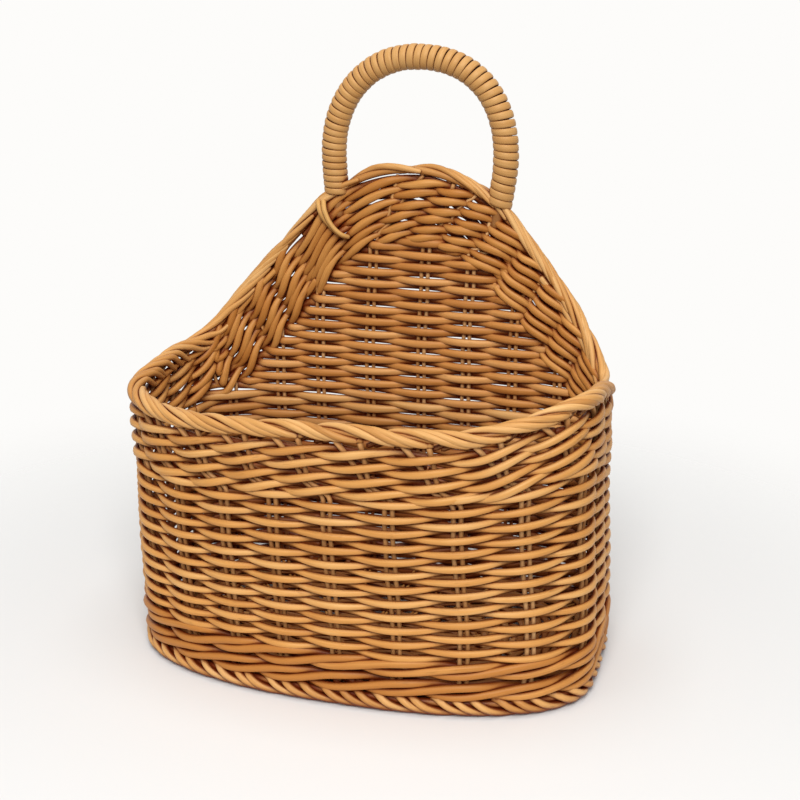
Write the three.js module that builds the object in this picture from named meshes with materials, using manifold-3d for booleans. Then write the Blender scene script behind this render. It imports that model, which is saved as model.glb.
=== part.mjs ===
// Woven wall basket with an arched back and a wrapped hanging loop.
// Millimetres, +Z up, +X to the right, +Y towards the wall that it hangs on.

import * as THREE from 'three';
import Module from 'manifold-3d';
import { mergeVertices } from 'three/addons/utils/BufferGeometryUtils.js';

const wasm = await Module();
wasm.setup();

// Overall sizes
const basketWidth = 188.5;
const basketDepth = 112;
const frontHeight = 113;
const wallHeight = 188.2;
const handleRise = 46;

// Plan outline: a rounded front and a flatter back, widest nearer the front
const frontFullnessShare = 2.35;
const backFullnessShare = 4.8;
const widestShare = 0.39;
const footTaperShare = 0.015;

// Arch of the back, measured along the wall from its middle
const archHalfSpan = 98.5;
const archTopRadius = 54.5;
const archFootRadius = 22;

// Rim and rows: the weave climbs towards the right of the front and sinks a little on the left
const rimClimb = 10.4;

// Stakes: thin rods bent double, both ends standing in the wall
const stakeRodDiameter = 1.9;
const stakeRodPitch = 2.6;
const stakeSides = 5;

// Each stake's place round the wall and its share of the rim's climb, from the middle of the back
const stakePlaceShares = [
  0.0096, 0.0487, 0.0892, 0.1300, 0.1701, 0.2102, 0.2501, 0.3000, 0.3521, 0.4026, 0.4539, 0.5022,
  0.5457, 0.5872, 0.6302, 0.6731, 0.7161, 0.7590, 0.8022, 0.8443, 0.8864, 0.9270, 0.9683,
];
const stakeClimbShares = [
  0, 0, 0, 0, 0, 0.12, 0.6, 1, 0.59, 0.04, 0, -0.03,
  -0.12, -0.27, -0.37, -0.3, -0.14, -0.04, 0, 0, 0, 0, 0,
];
const stakeCount = stakePlaceShares.length;

// Weaving strands
const strandHeight = 2.5;
const strandThickness = 2.4;
const strandSides = 4;
const rowGap = 0.5;
const fitGap = 0.3;
const rimWaleRounds = 5;
const upsetRounds = 4;
const sideWeaverCount = 5;
const seamStake = 5;

// Rolled borders at the rim and the foot
const rimBorderHeight = 9.6;
const rimBorderThickness = 8.6;
const footBorderHeight = 9;
const footBorderThickness = 9;
const footFlatDepth = 1.8;
const borderGap = 0.6;
const ropeStrands = 3;
const ropePointsPerStrand = 3;
const ropeValleyShare = 0.8;
const footRopeTurnShares = 10;

// Base
const baseMatThickness = 2.6;
const baseRidgeHeight = 1.2;
const baseRidges = 5;
const baseStickDiameter = 2.8;
const baseStickCount = 3;
const baseStickSpreadShare = 0.6;

// Hanging loop: a bent core, and one strand wound round it
const loopLegSpacing = 70.8;
const loopOffset = 2.2;
const loopCoreDiameter = 4.6;
const loopCoreSides = 8;
const wrapStrandDiameter = 2.1;
const wrapPitch = 2.9;
const wrapStepsPerTurn = 8;
const wrapSides = 5;
const loopSeatDepth = 9;

// Lashing that ties the left leg to the rim
const lashingDiameter = 1.9;
const lashingReach = 17;
const lashingPlace = -42.5;
const lashingSides = 6;

// Wall outline: its middle line and how far the weave stands out from it
const stakeRadius = stakeRodDiameter / 2;
const pairHalfWidth = (stakeRodPitch + stakeRodDiameter) / 2;
const strandHalf = strandThickness / 2;
const placeSteps = stakePlaceShares.map((share, i) => (
  i + 1 < stakeCount ? stakePlaceShares[i + 1] - share : 1 + stakePlaceShares[0] - share));
const leastPitch = Math.min(...placeSteps) * Math.PI * (basketWidth + basketDepth) / 2;
const strandFlat = (stakeRadius + fitGap + strandHalf) / (1 - 2 * pairHalfWidth / leastPitch);
const weaveReach = strandFlat + strandHalf;
const wallReach = Math.max(rimBorderThickness / 2, weaveReach);
const halfWidth = basketWidth / 2 - wallReach;
const wallDepth = basketDepth - 2 * wallReach;
const frontReach = widestShare * wallDepth;
const backReach = wallDepth - frontReach;
const planShift = (backReach - frontReach) / 2 + (fitGap + lashingDiameter) / 2;

function planAt(angle) {
  const across = Math.cos(angle);
  const along = Math.sin(angle);
  const fullness = along < 0 ? frontFullnessShare : backFullnessShare;
  const reach = along < 0 ? frontReach : backReach;
  const sum = Math.abs(across / halfWidth) ** fullness + Math.abs(along / reach) ** fullness;
  const radius = sum ** (-1 / fullness);
  return new THREE.Vector2(radius * across, radius * along - planShift);
}

// Distance round the wall, from the middle of the back towards +X
const tableSteps = 2880;
const angleTable = [];
const lengthTable = [0];
for (let i = 0; i <= tableSteps; i += 1) {
  angleTable.push(Math.PI / 2 - 2 * Math.PI * i / tableSteps);
  if (i > 0) {
    const step = planAt(angleTable[i]).distanceTo(planAt(angleTable[i - 1]));
    lengthTable.push(lengthTable[i - 1] + step);
  }
}
const wallLength = lengthTable[tableSteps];
const stakePitch = wallLength / stakeCount;

// Distance round the wall of a stake, or of a point between two stakes
function placeOf(crossing) {
  const low = Math.floor(crossing);
  const turns = Math.floor(low / stakeCount);
  const number = low - turns * stakeCount;
  return wallLength * (turns + stakePlaceShares[number] + (crossing - low) * placeSteps[number]);
}

function crossingOf(distance) {
  const turns = Math.floor(distance / wallLength - stakePlaceShares[0]);
  const within = distance / wallLength - turns;
  let number = 0;
  while (number + 1 < stakeCount && stakePlaceShares[number + 1] <= within) number += 1;
  return turns * stakeCount + number + (within - stakePlaceShares[number]) / placeSteps[number];
}

function climbAt(distance) {
  const crossing = crossingOf(distance);
  const low = Math.floor(crossing);
  const first = stakeClimbShares[((low % stakeCount) + stakeCount) % stakeCount];
  const second = stakeClimbShares[(((low + 1) % stakeCount) + stakeCount) % stakeCount];
  return rimClimb * (first + (second - first) * (crossing - low));
}

function angleAt(distance) {
  const turns = Math.floor(distance / wallLength);
  const within = distance - turns * wallLength;
  let low = 0;
  let high = tableSteps;
  while (high - low > 1) {
    const middle = (low + high) >> 1;
    if (lengthTable[middle] <= within) low = middle;
    else high = middle;
  }
  const share = (within - lengthTable[low]) / (lengthTable[high] - lengthTable[low]);
  return angleTable[low] + share * (angleTable[high] - angleTable[low]);
}

function planFrame(distance) {
  const angle = angleAt(distance);
  const turn = Math.PI / tableSteps;
  const point = planAt(angle);
  const tangent = planAt(angle - turn).sub(planAt(angle + turn)).normalize();
  const normal = new THREE.Vector2(-tangent.y, tangent.x);
  return { point, tangent, normal };
}

function bendAt(distance) {
  const reach = stakePitch / 4;
  const before = planFrame(distance - reach).tangent;
  const after = planFrame(distance + reach).tangent;
  return Math.abs(before.angleTo(after)) / (2 * reach);
}

function taperAt(z) {
  const below = Math.max(0, 1 - z / frontHeight);
  return 1 - footTaperShare * below ** 2;
}

// Height of a point of the wall once the rim's climb is added to its level
function raised(distance, level) {
  const share = Math.min(1, Math.max(0, (level - sideStart) / (sideEnd - sideStart)));
  return level + share * climbAt(distance);
}

function wallPoint(distance, level, out) {
  const { point, normal } = planFrame(distance);
  const scale = taperAt(level);
  const z = raised(distance, level);
  return new THREE.Vector3(point.x * scale + normal.x * out, point.y * scale + normal.y * out, z);
}

// Rim line: level in front and at the sides, a rounded arch at the back
const archRise = wallHeight - frontHeight;
const archFall = archRise - archTopRadius - archFootRadius;
const archReach = Math.hypot(archHalfSpan, archFall);
const archSlope = Math.atan2(archFall, archHalfSpan)
  + Math.asin((archTopRadius + archFootRadius) / archReach);

function rimTop(distance) {
  const wrapped = distance - wallLength * Math.round(distance / wallLength);
  const side = Math.abs(wrapped);
  const topEnd = archTopRadius * Math.sin(archSlope);
  const footStart = archHalfSpan - archFootRadius * Math.sin(archSlope);
  if (side <= topEnd) {
    return wallHeight - archTopRadius + Math.sqrt(archTopRadius ** 2 - side ** 2);
  }
  if (side < footStart) {
    const straightTop = wallHeight - archTopRadius * (1 - Math.cos(archSlope));
    return straightTop - (side - topEnd) * Math.tan(archSlope);
  }
  if (side < archHalfSpan) {
    const left = archHalfSpan - side;
    return frontHeight + archFootRadius - Math.sqrt(archFootRadius ** 2 - left ** 2);
  }
  return frontHeight;
}

// Line that lies a given depth below the rim, measured square to it
function rimBelow(distance, depth) {
  const samples = 48;
  let lowest = Infinity;
  for (let i = 0; i <= samples; i += 1) {
    const aside = depth * (2 * i / samples - 1);
    const drop = Math.sqrt(Math.max(0, depth ** 2 - aside ** 2));
    lowest = Math.min(lowest, rimTop(distance + aside) - drop);
  }
  return lowest;
}

// Closed body from rings of points, with flat ends or joined end to start
function bodyFromRings(rings, joined = false, seamShift = 0) {
  const sides = rings[0].length;
  const points = rings.flat();
  const faces = [];
  const spans = joined ? rings.length : rings.length - 1;
  for (let i = 0; i < spans; i += 1) {
    const last = i === rings.length - 1;
    const shift = last ? seamShift : 0;
    const next = last ? 0 : (i + 1) * sides;
    for (let j = 0; j < sides; j += 1) {
      const k = (j + 1) % sides;
      const nextJ = next + (j + shift) % sides;
      const nextK = next + (k + shift) % sides;
      faces.push([i * sides + j, nextJ, nextK], [i * sides + j, nextK, i * sides + k]);
    }
  }
  if (!joined) {
    const end = (rings.length - 1) * sides;
    for (let j = 1; j < sides - 1; j += 1) {
      faces.push([0, j, j + 1], [end, end + j + 1, end + j]);
    }
  }
  return closedGeometry(points, faces);
}

function closedGeometry(points, faces) {
  let volume = 0;
  const cross = new THREE.Vector3();
  for (const [a, b, c] of faces) {
    volume += points[a].dot(cross.crossVectors(points[b], points[c]));
  }
  const index = faces.flatMap(([a, b, c]) => (volume < 0 ? [a, c, b] : [a, b, c]));
  const geometry = new THREE.BufferGeometry();
  const values = points.flatMap((p) => [p.x, p.y, p.z]);
  geometry.setAttribute('position', new THREE.Float32BufferAttribute(values, 3));
  geometry.setIndex(index);
  return geometry;
}

// Strand that lies in the wall: steps hold a distance round it, a height and a stand-out
function wallStrand(steps) {
  const rings = steps.map((step, i) => {
    const before = steps[Math.max(0, i - 1)];
    const after = steps[Math.min(steps.length - 1, i + 1)];
    const rise = raised(after.at, after.z) - raised(before.at, before.z);
    const lean = Math.atan2(rise, after.at - before.at);
    const { tangent, normal } = planFrame(step.at);
    const centre = wallPoint(step.at, step.z, step.out);
    const outward = new THREE.Vector3(normal.x, normal.y, 0);
    const along = new THREE.Vector3(tangent.x, tangent.y, 0);
    const upward = new THREE.Vector3(0, 0, Math.cos(lean)).addScaledVector(along, -Math.sin(lean));
    const ring = [];
    for (let j = 0; j < strandSides; j += 1) {
      const angle = 2 * Math.PI * j / strandSides;
      ring.push(centre.clone()
        .addScaledVector(outward, strandHalf * Math.cos(angle))
        .addScaledVector(upward, strandHeight / 2 * Math.sin(angle)));
    }
    return ring;
  });
  return bodyFromRings(rings);
}

// Round tube through points, turned as little as possible from step to step
function tubeThrough(points, radius, sides) {
  const rings = [];
  let across = null;
  points.forEach((point, i) => {
    const before = points[Math.max(0, i - 1)];
    const after = points[Math.min(points.length - 1, i + 1)];
    const arrive = point.clone().sub(before).normalize();
    const leave = after.clone().sub(point).normalize();
    const along = arrive.clone().add(leave).normalize();
    if (!across) {
      const aside = Math.abs(along.z) > Math.SQRT1_2 ? new THREE.Vector3(0, 1, 0) : new THREE.Vector3(0, 0, 1);
      across = new THREE.Vector3().crossVectors(along, aside).normalize();
    }
    across.addScaledVector(along, -across.dot(along)).normalize();
    const up = new THREE.Vector3().crossVectors(along, across);
    const ends = i === 0 || i === points.length - 1;
    const widen = ends ? 1 : 1 / Math.max(Math.SQRT1_2, Math.sqrt((1 + arrive.dot(leave)) / 2));
    const bend = leave.clone().sub(arrive);
    const bends = bend.length() > 0 && !ends;
    if (bends) bend.normalize();
    const ring = [];
    for (let j = 0; j < sides; j += 1) {
      const angle = 2 * Math.PI * j / sides;
      const spoke = across.clone().multiplyScalar(Math.cos(angle)).addScaledVector(up, Math.sin(angle));
      if (bends) spoke.addScaledVector(bend, spoke.dot(bend) * (widen - 1));
      ring.push(point.clone().addScaledVector(spoke, radius));
    }
    rings.push(ring);
  });
  return bodyFromRings(rings);
}

// How far a strand's middle stands from the wall's middle line where it passes a stake
function passOut(distance, outside) {
  if (!outside) return -strandFlat;
  const chord = pairHalfWidth * (stakePitch - pairHalfWidth) / 2;
  return strandFlat + chord * bendAt(distance) / (1 - 2 * pairHalfWidth / stakePitch);
}

// Stand-out at any crossing number, straight between one stake and the next
function outAt(crossing, isOutside) {
  const low = Math.floor(crossing);
  const share = crossing - low;
  const first = passOut(placeOf(seamStake + low), isOutside(low));
  if (share === 0) return first;
  const second = passOut(placeOf(seamStake + low + 1), isOutside(low + 1));
  return first + (second - first) * share;
}

const endShare = fitGap / stakePitch;

function crossingsBetween(first, last, halfSteps) {
  const list = [first];
  for (let i = Math.floor(first); i <= last; i += 1) {
    const at = placeOf(seamStake + i);
    const wrapped = Math.abs(at - wallLength * Math.round(at / wallLength));
    if (i > first && i < last) list.push(i);
    const inArch = wrapped < archHalfSpan + stakePitch;
    if (halfSteps && inArch && i + 0.5 > first && i + 0.5 < last) list.push(i + 0.5);
  }
  list.push(last);
  return list;
}

function spiral(first, last, heightAt, isOutside, halfSteps = false) {
  const steps = crossingsBetween(first, last - endShare, halfSteps).map((crossing) => {
    const at = placeOf(seamStake + crossing);
    return { at, z: heightAt(crossing, at), out: outAt(crossing, isOutside) };
  });
  return wallStrand(steps);
}

const plainWeave = (crossing) => crossing % 2 === 0;
const frontOfTwo = (crossing) => crossing % 3 !== 2;

// Heights of the bands, from the foot up and from the rim down
const minPitch = strandHeight + rowGap;
const baseBottom = footBorderHeight + fitGap;
const upsetStart = baseBottom + baseMatThickness + fitGap + strandHeight / 2;
const sideStart = upsetStart + upsetRounds * minPitch;
const rimWaleTop = rimBorderHeight + borderGap + strandHeight / 2;
const rimWaleStart = rimWaleTop + rimWaleRounds * minPitch;
const sideEnd = frontHeight - rimWaleStart;
const sink = -rimClimb * Math.min(...stakeClimbShares);
const sideRounds = Math.floor((sideEnd - sideStart - sink) / minPitch);
const sidePitch = (sideEnd - sideStart) / sideRounds;

function upsetWale() {
  const climb = (crossing) => upsetStart + minPitch * crossing / stakeCount;
  return spiral(0, upsetRounds * stakeCount, climb, frontOfTwo);
}

function sideWeaver(number) {
  const total = sideRounds * stakeCount;
  const first = Math.round(total * number / sideWeaverCount);
  const last = Math.round(total * (number + 1) / sideWeaverCount);
  const climb = (crossing) => sideStart + sidePitch * crossing / stakeCount;
  return spiral(first, last, climb, plainWeave);
}

function rimWale() {
  const climb = (crossing, at) => rimBelow(at, rimWaleStart - minPitch * crossing / stakeCount);
  return spiral(0, rimWaleRounds * stakeCount, climb, frontOfTwo, true);
}

// Rows across the back panel, one strand that turns back at each end
const seamTurnShare = 0.5;
const panelDepth = rimWaleStart - seamTurnShare * minPitch + strandHeight / 2 + rowGap;

function panelEdge(z, side) {
  const needed = z + strandHeight / 2;
  if (rimBelow(0, panelDepth) < needed) return 0;
  let low = 0;
  let high = archHalfSpan;
  while (high - low > fitGap / 4) {
    const middle = (low + high) / 2;
    if (rimBelow(middle, panelDepth) > needed) low = middle;
    else high = middle;
  }
  const keepOff = pairHalfWidth + fitGap + strandHeight / 2;
  const nearest = side * placeOf(Math.round(crossingOf(side * low)));
  return Math.abs(low - nearest) < keepOff ? nearest - keepOff : low;
}

function panelRows() {
  const rows = [];
  const rowAt = (z) => ({ z, left: panelEdge(z, -1), right: panelEdge(z, 1) });
  let row = rowAt(sideEnd + sidePitch);
  while (Math.min(row.left, row.right) > pairHalfWidth) {
    rows.push(row);
    row = rowAt(row.z + sidePitch);
  }
  return rows;
}

function panelOut(at, row) {
  const crossing = crossingOf(at);
  const low = Math.floor(crossing);
  const share = crossing - low;
  const lastCrossing = sideRounds * stakeCount - seamStake;
  const outside = (stake) => plainWeave(Math.abs(lastCrossing + stake + row + 1));
  const first = passOut(placeOf(low), outside(low));
  const second = passOut(placeOf(low + 1), outside(low + 1));
  return first + (second - first) * share;
}

function backWeaver() {
  const rows = panelRows();
  const turnSteps = 3;
  const turnRadius = sidePitch / 2;
  const steps = [];
  const edgeOf = (row, side) => {
    const near = rows[Math.min(rows.length - 1, Math.max(0, row))];
    return side > 0 ? near.right : near.left;
  };
  rows.forEach(({ z }, row) => {
    const side = row % 2 === 0 ? 1 : -1;
    const isLast = row === rows.length - 1;
    const arriveEdge = Math.min(edgeOf(row, -side), edgeOf(row - 1, -side));
    const leaveEdge = Math.min(edgeOf(row, side), edgeOf(row + 1, side));
    if (row === 0) steps.push({ at: -side * arriveEdge, z, out: panelOut(-side * arriveEdge, row) });
    const from = -side * (arriveEdge - turnRadius);
    const to = side * (leaveEdge - turnRadius);
    const firstStake = Math.ceil(crossingOf(Math.min(from, to)));
    const lastStake = Math.floor(crossingOf(Math.max(from, to)));
    const stakes = [];
    for (let stake = firstStake; stake <= lastStake; stake += 1) stakes.push(placeOf(stake));
    if (side < 0) stakes.reverse();
    for (const at of stakes) steps.push({ at, z, out: panelOut(at, row) });
    if (isLast) {
      steps.push({ at: to, z, out: panelOut(to, row) });
      return;
    }
    for (let i = 0; i < turnSteps; i += 1) {
      const share = i / (turnSteps - 1);
      const at = to + side * turnRadius * Math.sin(Math.PI * share);
      const lift = turnRadius * (1 - Math.cos(Math.PI * share));
      const out = panelOut(to, row) * (1 - share) + panelOut(to, row + 1) * share;
      steps.push({ at, z: z + lift, out });
    }
  });
  return wallStrand(steps);
}

// One rod bent double: down beside its twin, round the foot and up again
function stake(number) {
  const at = placeOf(number);
  const { tangent } = planFrame(at);
  const along = new THREE.Vector3(tangent.x, tangent.y, 0);
  const bendRadius = stakeRodPitch / 2;
  const bottom = baseBottom + bendRadius + stakeRadius;
  const levels = 4;
  const topAt = (side) => {
    const reach = [-stakeRadius, 0, stakeRadius].map((aside) => (
      rimBelow(at + side * bendRadius + aside, rimBorderHeight)));
    return Math.min(...reach) - fitGap;
  };
  const rod = (side) => {
    const top = topAt(side);
    const points = [];
    for (let i = 0; i <= levels; i += 1) {
      const z = top + (bottom - top) * i / levels;
      points.push(wallPoint(at, z, 0).addScaledVector(along, side * bendRadius));
    }
    return points;
  };
  const turn = [];
  const turnSteps = 4;
  for (let i = 1; i < turnSteps; i += 1) {
    const angle = Math.PI * i / turnSteps;
    const z = bottom - bendRadius * Math.sin(angle);
    turn.push(wallPoint(at, z, 0).addScaledVector(along, -bendRadius * Math.cos(angle)));
  }
  return tubeThrough([...rod(-1), ...turn, ...rod(1).reverse()], stakeRadius, stakeSides);
}

// Rolled border: strands laid round each other like a rope, joined all the way round
function ropeRing(stepCount, strandsPassed, height, thickness, heightAt, flatAt = -Infinity) {
  const sides = ropeStrands * ropePointsPerStrand;
  const rings = [];
  for (let i = 0; i < stepCount; i += 1) {
    const at = wallLength * i / stepCount;
    const reach = wallLength / stepCount / 2;
    const rise = raised(at + reach, heightAt(at + reach)) - raised(at - reach, heightAt(at - reach));
    const lean = Math.atan2(rise, 2 * reach);
    const { tangent, normal } = planFrame(at);
    const outward = new THREE.Vector3(normal.x, normal.y, 0);
    const along = new THREE.Vector3(tangent.x, tangent.y, 0);
    const upward = new THREE.Vector3(0, 0, Math.cos(lean)).addScaledVector(along, -Math.sin(lean));
    const centre = wallPoint(at, heightAt(at), 0);
    const turn = 2 * Math.PI * strandsPassed * i / stepCount / ropeStrands;
    const ring = [];
    for (let j = 0; j < sides; j += 1) {
      const angle = 2 * Math.PI * j / sides - turn;
      const share = j % ropePointsPerStrand === 0 ? 1 : ropeValleyShare;
      const point = centre.clone()
        .addScaledVector(outward, share * thickness / 2 * Math.cos(angle))
        .addScaledVector(upward, share * height / 2 * Math.sin(angle));
      point.z = Math.max(point.z, flatAt);
      ring.push(point);
    }
    rings.push(ring);
  }
  const seamShift = (sides * (ropeStrands - 1) * strandsPassed / ropeStrands) % sides;
  return bodyFromRings(rings, true, seamShift);
}

function toSolid(geometry) {
  const plain = geometry.clone();
  plain.deleteAttribute('normal');
  plain.deleteAttribute('uv');
  const merged = mergeVertices(plain);
  const vertProperties = new Float32Array(merged.attributes.position.array);
  const triVerts = new Uint32Array(merged.index.array);
  return new wasm.Manifold(new wasm.Mesh({ numProp: 3, vertProperties, triVerts }));
}

function fromSolid(solid) {
  const mesh = solid.getMesh();
  const geometry = new THREE.BufferGeometry();
  geometry.setAttribute('position', new THREE.BufferAttribute(mesh.vertProperties, 3));
  geometry.setIndex(new THREE.BufferAttribute(mesh.triVerts, 1));
  return geometry;
}

// Place and height of the loop's legs
const legX = loopLegSpacing / 2;
const backY = wallPoint(legX, frontHeight, 0).y;
const wrapRadius = loopCoreDiameter / 2 + fitGap + wrapStrandDiameter / 2;
const wrapReach = wrapRadius + wrapStrandDiameter / 2;
const loopTop = wallHeight + handleRise - wrapReach;
const springLine = loopTop - legX;
const rimAtLeg = rimTop(legX + loopOffset);
const legBottom = rimAtLeg - loopSeatDepth;

function rimBorder() {
  const stepsPerStake = 4;
  const middle = (at) => rimBelow(at, rimBorderHeight / 2);
  const ring = ropeRing(stakeCount * stepsPerStake, stakeCount, rimBorderHeight, rimBorderThickness, middle);
  const seatRadius = loopCoreDiameter / 2 + fitGap;
  let solid = toSolid(ring);
  for (const side of [-1, 1]) {
    const seat = new THREE.CylinderGeometry(seatRadius, seatRadius, 2 * archTopRadius, loopCoreSides * 2);
    seat.rotateX(Math.PI / 2);
    seat.translate(loopOffset + side * legX, backY, rimAtLeg);
    solid = solid.subtract(toSolid(seat));
  }
  return fromSolid(solid);
}

function footBorder() {
  const strandsPassed = footRopeTurnShares * ropeStrands;
  const middle = () => footBorderHeight / 2 - footFlatDepth / 2;
  const height = footBorderHeight + footFlatDepth;
  return ropeRing(strandsPassed * ropePointsPerStrand, strandsPassed, height, footBorderThickness, middle, 0);
}

// Woven mat of the base: rounds that rise over every other spoke, flat underneath
function baseMat() {
  const edge = stakeRadius + fitGap;
  const around = 2 * stakeCount;
  const top = baseBottom + baseMatThickness;
  const rings = [];
  const ringAt = (share, heightAt) => {
    const ring = [];
    for (let i = 0; i < around; i += 1) {
      const point = wallPoint(wallLength * i / around, baseBottom, -edge);
      ring.push(new THREE.Vector3(point.x * share, point.y * share, heightAt(i)));
    }
    return ring;
  };
  const flat = () => baseBottom;
  const lastShare = 0.04;
  rings.push(ringAt(lastShare, flat));
  rings.push(ringAt(1, flat));
  for (let i = 0; i < 2 * baseRidges; i += 1) {
    const share = 1 - (1 - lastShare) * i / (2 * baseRidges - 1);
    const passesOver = (spoke) => i % 2 === 1 && (spoke + (i - 1) / 2) % 2 === 0;
    rings.push(ringAt(share, (spoke) => (passesOver(spoke) ? top : top - baseRidgeHeight)));
  }
  return bodyFromRings(rings);
}

// Rods that cross under the mat, held between the sides of the foot
function baseStick(number) {
  const inset = footBorderThickness / 2 + fitGap;
  const z = baseBottom - fitGap - baseStickDiameter / 2;
  const share = number / (baseStickCount - 1) - 1 / 2;
  const y = share * baseStickSpreadShare * (basketDepth - 2 * footBorderThickness);
  let reach = 0;
  for (let i = 0; i < tableSteps; i += 1) {
    const edge = wallPoint(lengthTable[i], z, -inset);
    const next = wallPoint(lengthTable[i + 1], z, -inset);
    const crosses = (edge.y - y) * (next.y - y) <= 0;
    if (crosses) reach = Math.max(reach, Math.min(Math.abs(edge.x), Math.abs(next.x)));
  }
  const half = reach - baseStickDiameter / 2;
  const points = [new THREE.Vector3(-half, y, z), new THREE.Vector3(half, y, z)];
  return tubeThrough(points, baseStickDiameter / 2, stakeSides + 1);
}

// Middle line of the loop, by distance from the left leg's bottom, and its inward direction
const legLength = springLine - legBottom;
const bowLength = Math.PI * legX;
const loopLength = 2 * legLength + bowLength;

function loopFrame(distance) {
  if (distance <= legLength) {
    const point = new THREE.Vector3(loopOffset - legX, backY, legBottom + distance);
    return { point, outward: new THREE.Vector3(-1, 0, 0) };
  }
  if (distance >= legLength + bowLength) {
    const point = new THREE.Vector3(loopOffset + legX, backY, legBottom + loopLength - distance);
    return { point, outward: new THREE.Vector3(1, 0, 0) };
  }
  const angle = Math.PI * (1 - (distance - legLength) / bowLength);
  const outward = new THREE.Vector3(Math.cos(angle), 0, Math.sin(angle));
  const point = new THREE.Vector3(loopOffset, backY, springLine).addScaledVector(outward, legX);
  return { point, outward };
}

function loopCore() {
  const bowSteps = 20;
  const points = [loopFrame(0).point];
  for (let i = 0; i <= bowSteps; i += 1) {
    points.push(loopFrame(legLength + bowLength * i / bowSteps).point);
  }
  points.push(loopFrame(loopLength).point);
  return tubeThrough(points, loopCoreDiameter / 2, loopCoreSides);
}

// The wrap starts and ends on the inner side of the legs, just above the rim
const rimInsideLeg = rimTop(legX - loopOffset - wrapReach);
const wrapStart = rimInsideLeg + fitGap + 2 * wrapStrandDiameter - legBottom;
const wrapTurns = Math.floor((loopLength - 2 * wrapStart) / wrapPitch);

function wrapPoint(distance, turn) {
  const { point, outward } = loopFrame(distance);
  return point.clone()
    .addScaledVector(outward, -wrapRadius * Math.cos(turn))
    .add(new THREE.Vector3(0, wrapRadius * Math.sin(turn), 0));
}

function wrapPath() {
  const steps = wrapTurns * wrapStepsPerTurn;
  const first = (loopLength - wrapTurns * wrapPitch) / 2;
  const path = [];
  for (let i = 0; i <= steps; i += 1) {
    path.push(wrapPoint(first + wrapTurns * wrapPitch * i / steps, 2 * Math.PI * i / wrapStepsPerTurn));
  }
  const tail = new THREE.Vector3(0, 0, -1.5 * wrapStrandDiameter);
  path.unshift(path[0].clone().add(tail));
  path.push(path[path.length - 1].clone().add(tail));
  return path;
}

// Least gap between turns, measured between points at least half a turn apart
function leastWrapGap(path) {
  const finer = [];
  const parts = 4;
  for (let i = 0; i + 1 < path.length; i += 1) {
    for (let j = 0; j < parts; j += 1) finer.push(path[i].clone().lerp(path[i + 1], j / parts));
  }
  const apart = parts * wrapStepsPerTurn / 2;
  const near = apart * 4;
  let least = Infinity;
  for (let i = 0; i < finer.length; i += 1) {
    const last = Math.min(finer.length, i + near);
    for (let j = i + apart; j < last; j += 1) {
      least = Math.min(least, finer[i].distanceTo(finer[j]));
    }
  }
  return least - wrapStrandDiameter;
}

// Hairpin over the rim: down inside, and down outside, two strands side by side
function lashing() {
  const radius = lashingDiameter / 2;
  const bendRadius = radius + fitGap / 2;
  const side = wallReach + fitGap + radius;
  const over = fitGap + radius;
  const profile = (shift) => {
    const at = lashingPlace + shift;
    const lean = Math.atan2(rimTop(at + radius) - rimTop(at - radius), lashingDiameter);
    const top = new THREE.Vector3(0, 0, rimTop(lashingPlace) + shift * Math.tan(lean));
    const { point, tangent, normal } = planFrame(lashingPlace);
    const along = new THREE.Vector3(tangent.x, tangent.y, 0);
    const outward = new THREE.Vector3(normal.x, normal.y, 0);
    top.x = point.x;
    top.y = point.y;
    top.addScaledVector(along, shift);
    const down = new THREE.Vector3(0, 0, -Math.cos(lean)).addScaledVector(along, Math.sin(lean));
    const place = (out, depth) => top.clone().addScaledVector(outward, out).addScaledVector(down, depth);
    const corner = side / 2;
    return [place(-side, lashingReach), place(-side, corner), place(-corner, -over),
      place(corner, -over), place(side, corner), place(side, lashingReach)];
  };
  const first = profile(-bendRadius);
  const second = profile(bendRadius).reverse();
  const endOne = first[first.length - 1];
  const endTwo = second[0];
  const down = endOne.clone().sub(first[first.length - 2]).normalize();
  const middle = endOne.clone().lerp(endTwo, 1 / 2).addScaledVector(down, bendRadius);
  return tubeThrough([...first, middle, ...second], radius, lashingSides);
}

// Finishes
const finishes = {
  weaver: new THREE.MeshStandardMaterial({ color: 0xd7a262, roughness: 0.55, metalness: 0 }),
  backWeaver: new THREE.MeshStandardMaterial({ color: 0xc08a54, roughness: 0.5, metalness: 0 }),
  stake: new THREE.MeshStandardMaterial({ color: 0xb98146, roughness: 0.6, metalness: 0 }),
  border: new THREE.MeshStandardMaterial({ color: 0xcf9756, roughness: 0.55, metalness: 0 }),
  wrap: new THREE.MeshStandardMaterial({ color: 0xdba560, roughness: 0.45, metalness: 0 }),
  core: new THREE.MeshStandardMaterial({ color: 0x9c6b3a, roughness: 0.7, metalness: 0 }),
};

const basket = new THREE.Group();

function addPiece(name, geometry, material) {
  geometry.deleteAttribute('normal');
  geometry.computeVertexNormals();
  const mesh = new THREE.Mesh(geometry, material);
  mesh.name = name;
  basket.add(mesh);
}

addPiece('foot_border', footBorder(), finishes.border);
addPiece('base_mat', baseMat(), finishes.weaver);
for (let i = 0; i < baseStickCount; i += 1) {
  addPiece(`base_stick_${i + 1}`, baseStick(i), finishes.stake);
}
for (let i = 0; i < stakeCount; i += 1) {
  addPiece(`stake_${String(i + 1).padStart(2, '0')}`, stake(i), finishes.stake);
}
addPiece('upset_wale', upsetWale(), finishes.weaver);
for (let i = 0; i < sideWeaverCount; i += 1) {
  addPiece(`side_weaver_${i + 1}`, sideWeaver(i), finishes.weaver);
}
addPiece('back_weaver', backWeaver(), finishes.backWeaver);
addPiece('rim_wale', rimWale(), finishes.weaver);
addPiece('rim_border', rimBorder(), finishes.border);
addPiece('handle_core', loopCore(), finishes.core);
const path = wrapPath();
console.log(`handle wrap: ${wrapTurns} turns, least gap ${leastWrapGap(path).toFixed(2)} mm`);
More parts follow.
